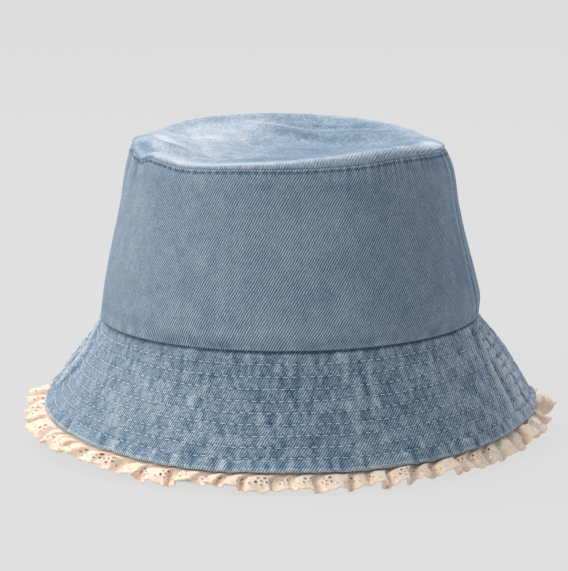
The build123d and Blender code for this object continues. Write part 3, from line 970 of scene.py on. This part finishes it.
def sweatband():
    """The tape round the head opening, eased a little where the head rubs it."""
    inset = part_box("crown_side_back")[1].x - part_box("sweatband")[1].x
    points = inner_ring(inset, band_heights, 82, 0.35 * MM)
    lengths, total = lengths_round(points[:, 12])
    u, v = np.meshgrid(lengths, band_heights, indexing="ij")
    solid, face_sets = thicken(points.reshape(-1, 3), grid_faces(*points.shape[:2], True), TAPE)
    piece = make("sweatband_tape", solid, face_sets, band_tape, ["sweatband"],
                 np.stack([u, v], axis=-1).reshape(-1, 2))
    inner = points - ring_normals(points) * TAPE
    low = int(len(band_heights) * 0.92)
    runs = [lay_stitches(141, inner[:, low], -ring_normals(points)[:, low])]
    stitch_piece("sweatband_thread", "sweatband_stitch", runs, thread_blue)


sweatband()
lining()


def lining_tip():
    """The lining's own tip, sewn round its edge and slightly slack."""
    low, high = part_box("lining_tip")
    rim = high.x
    radii = np.linspace(rim, 0.5 * MM, 40)
    _, az, width = ring_grid(radii, 2)
    height = high.z - 0.4 * MM - (high.z - low.z) * 0.6 * fade(1 - width / rim)
    points = place(az, width, height)
    points[..., 2] -= 0.5 * MM * np.abs(plan_noise(83, points, 16, 16))
    flat_points, triangles = closed_over(points)
    solid, face_sets = thicken(flat_points, triangles, LINING)
    piece = make("lining_tip_cotton", solid, face_sets, lining_cotton, ["lining_tip"],
                 flat_points[:, :2])


lining_tip()

# ------------------------------------------------------------------ lace
def scallop_edge(x):
    """Distance across the strip to its scalloped edge."""
    return LACE_WIDTH - 0.9 * MM * (1 - np.abs(np.sin(math.pi * SCALLOPS * x / MOTIF)) ** 0.8)


def eyelets():
    """Holes of one motif: (x, y, radius) of a flower and of two small eyelets beside it."""
    middle = (MOTIF / 2, 13.1 * MM)
    holes = [(*middle, 0.5 * MM)]
    for petal in range(5):
        turn = TURN * (petal + 0.25) / 5
        holes.append((middle[0] + 2.5 * MM * math.cos(turn), middle[1] + 2.0 * MM * math.sin(turn),
                      (0.6 + 0.06 * petal) * MM))
    holes += [(1.5 * MM, 14.9 * MM, 0.45 * MM), (MOTIF - 1.5 * MM, 14.9 * MM, 0.45 * MM)]
    return holes


def lace_motif():
    """One flat repeat of the lace: points, triangles and how far its embroidery stands up."""
    spots, edges, lifts = [], [], []
    for x, y, radius in eyelets():
        for grow, lift in ((0.0, 0.16), (0.2, 0.2), (0.42, 0.0)):
            start = len(spots)
            sides = 12
            for side in range(sides):
                turn = TURN * side / sides
                reach = radius + grow * MM
                spots.append((x + reach * math.cos(turn), y + reach * math.sin(turn)))
                lifts.append(lift * MM)
                edges.append((start + side, start + (side + 1) % sides))
    columns = 18
    for column in range(columns + 1):
        x = MOTIF * column / columns
        edge = float(scallop_edge(x))
        for y, lift in ((edge, 0.0), (edge - 0.35 * MM, 0.2), (edge - 0.8 * MM, 0.0)):
            spots.append((x, y))
            lifts.append(lift * MM)
        for y in [*np.linspace(0, HEADING, 7), *np.arange(HEADING + 0.8 * MM, edge - 1.3 * MM, 0.8 * MM)]:
            if all(math.hypot(x - hx, y - hy) > radius + 0.7 * MM for hx, hy, radius in eyelets()):
                spots.append((x, float(y)))
                lifts.append(0.0)
    start = [i for i, spot in enumerate(spots) if abs(spot[1] - scallop_edge(spot[0])) < 1e-9]
    edges += list(zip(start, start[1:]))
    scale = 1000  # the triangulation works in millimetres
    out = geometry.delaunay_2d_cdt([Vector(spot) * scale for spot in spots], edges, [], 0, 1e-6, True)
    points = np.array([tuple(point) for point in out[0]]) / scale
    source = [origin[0] if origin else -1 for origin in out[3]]
    lift = np.array([lifts[i] if i >= 0 else 0.0 for i in source])
    kept = []
    for face in out[2]:
        cx, cy = points[face].mean(axis=0)
        in_hole = any(math.hypot(cx - hx, cy - hy) < radius * 0.97 for hx, hy, radius in eyelets())
        if not in_hole and cy < scallop_edge(cx) + 0.02 * MM:
            kept.append(face)
    return points, np.array(kept), lift


def lace_strip(repeats):
    """Motifs joined into one flat strip whose ends meet: points, triangles and lifts."""
    points, faces, lift = lace_motif()
    count = len(points)
    every = np.concatenate([points + [MOTIF * k, 0] for k in range(repeats)])
    all_faces = np.concatenate([faces + count * k for k in range(repeats)])
    left = [i for i in range(count) if points[i, 0] < 1e-7]
    right = [i for i in range(count) if points[i, 0] > MOTIF - 1e-7]
    left.sort(key=lambda i: points[i, 1])
    right.sort(key=lambda i: points[i, 1])
    index = np.arange(len(every))
    for k in range(repeats):
        following = (k + 1) % repeats
        for a, b in zip(right, left):
            index[count * k + a] = count * following + b
    all_faces = index[all_faces]
    used, compact = np.unique(all_faces, return_inverse=True)
    return every[used], compact.reshape(all_faces.shape), np.tile(lift, repeats)[used]


def pleats(length):
    """Uneven pleats: how far along and how far out each flat distance of a strip comes to lie."""
    rng = np.random.default_rng(7)
    count = round(length / PLEAT)
    jitter = rng.uniform(-0.34, 0.34, count) * PLEAT
    jitter[0] = 0
    starts = np.append(np.arange(count) * length / count + jitter, length)
    turned = rng.uniform(0.9, 2.2, count)
    early, late = rng.uniform(0.12, 0.27, (2, count))
    tight = rng.uniform(0.07, 0.14, count)
    flat = np.linspace(0, length, int(length / (0.25 * MM)))
    pleat = np.clip(np.searchsorted(starts, flat, side="right") - 1, 0, count - 1)
    phase = (flat - starts[pleat]) / np.diff(starts)[pleat]
    up, down = bump(phase - early[pleat], tight[pleat]), bump(phase - 1 + late[pleat], tight[pleat])
    angle = turned[pleat] * (up - down)
    step = flat[1] - flat[0]
    along = running(np.cos(angle[:-1])) * step
    out = running(np.sin(angle[:-1])) * step
    for index in range(count):
        inside = pleat == index
        out[inside] -= np.linspace(out[inside][0], out[inside][-1], inside.sum())
    return flat, along, out, (starts[:-1] + starts[1:]) / 2


def lace():
    """The eyelet strip gathered under the brim's edge, full and pleated where it hangs free."""
    edge = top_face[:, -1]
    edge_lengths, edge_total = lengths_round(edge)
    trial = 60 * PLEAT
    repeats = round(edge_total / MOTIF * trial / pleats(trial)[1][-1])
    length = repeats * MOTIF
    strip, faces, lift = lace_strip(repeats)
    flat, along, out, middles = pleats(length)
    along = along * edge_total / along[-1]
    x, y = strip[:, 0], strip[:, 1]
    free = fade((y - 6.5 * MM) / (6 * MM))
    hang = np.clip((y - HEADING) / (LACE_WIDTH - HEADING), 0, 1)
    rng = np.random.default_rng(8)
    lean = np.interp(x, middles, rng.uniform(-3.2, 3.2, len(middles)), period=length) * MM
    droop = np.interp(x, middles, rng.uniform(-1.2, 1.6, len(middles)), period=length) * MM
    even = x / length * edge_total
    shifted = np.interp(x, flat, along)
    standing = np.interp(x, flat, out)
    where = even * (1 - free) + shifted * free + lean * hang**1.5
    loop = np.append(edge_lengths, edge_total)
    down = unit(brim_points[:, -1] - brim_points[:, -6])
    outward = unit(place(azimuths, RATIO + 0 * azimuths, 0) * [1, 1 / RATIO**2, 1])
    reach = 0.78 - 0.3 * toward(azimuths, 103, 32)
    spread = unit(outward * reach[:, None] + np.array([0, 0, -0.63]))

    def on_edge(values):
        closed = np.append(values, values[:1], axis=0)
        return np.stack([np.interp(where % edge_total, loop, closed[:, k]) for k in range(3)], axis=-1)

    start, out_of, fall, sling = (on_edge(values) for values in (edge, brim_normals[:, -1], down, spread))
    lift_out = unit(np.stack([sling[:, 0], sling[:, 1], 0 * x], axis=-1) + np.array([0, 0, 0.5]))
    base = -(UNDER + 1.3 * MM) * (1 - free) - 3.2 * MM * free
    small = 0.25 * MM * np.sin(TURN * x / (2.6 * MM)) * (1 - free)
    sway = 1.5 * MM * hang * noise(91, x / length, y / LACE_WIDTH, 170, 2)
    below = np.maximum(y - HEADING, 0)[:, None]
    above = np.minimum(y - HEADING, 0)[:, None]
    blend = free[:, None]
    points = start + fall * above + sling * below
    points = points + out_of * ((base + small) + standing * 0.1 * (1 - free))[:, None]
    points = points + lift_out * blend * (standing * (0.85 + 0.4 * hang) + sway)[:, None]
    points[:, 2] += (droop + sway) * hang
    points[:, 2] = np.maximum(points[:, 2], 0.6 * MM)
    solid, face_sets = thicken(points, faces[:, ::-1], LACE_THICKNESS, lift)
    piece = make("lace_ruffle_cotton", solid, face_sets, lace_cotton, ["lace_ruffle"], strip)


lace()

# ------------------------------------------------------------------ floor, lights and camera
FLOOR_REACH = 60.0


def stage():
    """A pale floor that reaches past the view and glows evenly, but for a painted shadow: an oval under the
    hat where the glow is masked off.
    """
    mesh = bpy.data.meshes.new("floor")
    corners = [(x * FLOOR_REACH, y * FLOOR_REACH, 0) for x, y in ((-1, -1), (1, -1), (1, 1), (-1, 1))]
    mesh.from_pydata(corners, [], [(0, 1, 2, 3)])
    floor = bpy.data.objects.new("floor", mesh)
    bpy.context.scene.collection.objects.link(floor)
    material, node, link, main = shader("pale floor")
    where = node("ShaderNodeTexCoord").outputs["Object"]
    mottle = cloud(node, link, where, 60, 3)
    link(ramp(node, link, mottle, [(0.3, linear(219, 219, 219)), (0.7, linear(222, 222, 222))]),
         main.inputs["Base Color"])
    settle(main, Roughness=0.9, Specular_IOR_Level=0.0)
    glow = node("ShaderNodeEmission", Strength=1.0, Color=(*linear(222, 222, 222), 1))
    # a painted shadow: the glow is masked off in the oval that the hat covers, so it is dark behind the
    # eyelets
    oval = node("ShaderNodeVectorMath", operation="MULTIPLY")
    oval.inputs[1].default_value = (1, 1 / RATIO, 0)
    link(where, oval.inputs[0])
    far = node("ShaderNodeVectorMath", operation="LENGTH")
    link(oval.outputs[0], far.inputs[0])
    shade = node("ShaderNodeMapRange", interpolation_type="SMOOTHSTEP", From_Min=EDGE_HALF_WIDTH - 16 * MM,
                 From_Max=EDGE_HALF_WIDTH - 6 * MM, To_Max=0.93)
    link(far.outputs["Value"], shade.inputs["Value"])
    mix = node("ShaderNodeMixShader")
    link(shade.outputs["Result"], mix.inputs["Fac"])
    link(main.outputs[0], mix.inputs[1])
    link(glow.outputs[0], mix.inputs[2])
    link(mix.outputs[0], material.node_tree.nodes["Material Output"].inputs["Surface"])
    mesh.materials.append(material)


def softbox(name, position, size, power, colour=(1, 1, 1)):
    """A square area light aimed at the crown."""
    light = bpy.data.lights.new(name, "AREA")
    light.size = size
    light.energy = power
    light.color = colour
    lamp = bpy.data.objects.new(name, light)
    bpy.context.scene.collection.objects.link(lamp)
    lamp.location = position
    aim = Vector((0, 0, SEAM)) - Vector(position)
    lamp.rotation_euler = aim.to_track_quat("-Z", "Y").to_euler()


def studio():
    """Lights from the left front, from behind on the right and from above, and pale surroundings."""
    softbox("key", (-1.2, -1.5, 1.2), 1.1, 21.5, (1, 0.98, 0.93))
    softbox("rim", (1.2, 1.9, 0.8), 0.8, 12.5, (0.95, 0.93, 1))
    softbox("top", (-0.7, 0.5, 1.8), 0.9, 31, (1, 0.975, 0.91))
    world = bpy.data.worlds.new("studio")
    world.use_nodes = True
    world.node_tree.nodes["Background"].inputs["Color"].default_value = (*linear(208, 221, 229), 1)
    world.node_tree.nodes["Background"].inputs["Strength"].default_value = 0.47
    bpy.context.scene.world = world


VIEW_AZIMUTH = 13.0  # degrees round towards +X from the front
VIEW_ELEVATION = 9.75
VIEW_DISTANCE = 1.7
LENS = 221.0
AIM_RISE = 13.3 * MM
AIM_LEFT = 3.2 * MM


def camera():
    """The camera, aimed a little above the brim seam and a little left of the hat's middle."""
    data = bpy.data.cameras.new("camera")
    data.lens = LENS
    data.sensor_width = 36.0
    data.clip_start, data.clip_end = 0.05, 4 * FLOOR_REACH
    view = bpy.data.objects.new("camera", data)
    bpy.context.scene.collection.objects.link(view)
    turn, rise = math.radians(VIEW_AZIMUTH), math.radians(VIEW_ELEVATION)
    back = Vector((math.sin(turn) * math.cos(rise), -math.cos(turn) * math.cos(rise), math.sin(rise)))
    right = Vector((math.cos(turn), math.sin(turn), 0))
    aim = Vector((0, 0, SEAM + AIM_RISE)) - right * AIM_LEFT
    view.location = aim + back * VIEW_DISTANCE
    view.rotation_mode = "QUATERNION"
    view.rotation_quaternion = (-back).to_track_quat("-Z", "Y")
    bpy.context.scene.camera = view


stage()
studio()
camera()
bpy.context.scene.view_settings.view_transform = "Standard"
bpy.context.scene.view_settings.look = "None"
# the denoiser is guided by the unfiltered colours, so it keeps the fine lines of the twill
bpy.context.scene.cycles.denoising_prefilter = "NONE"
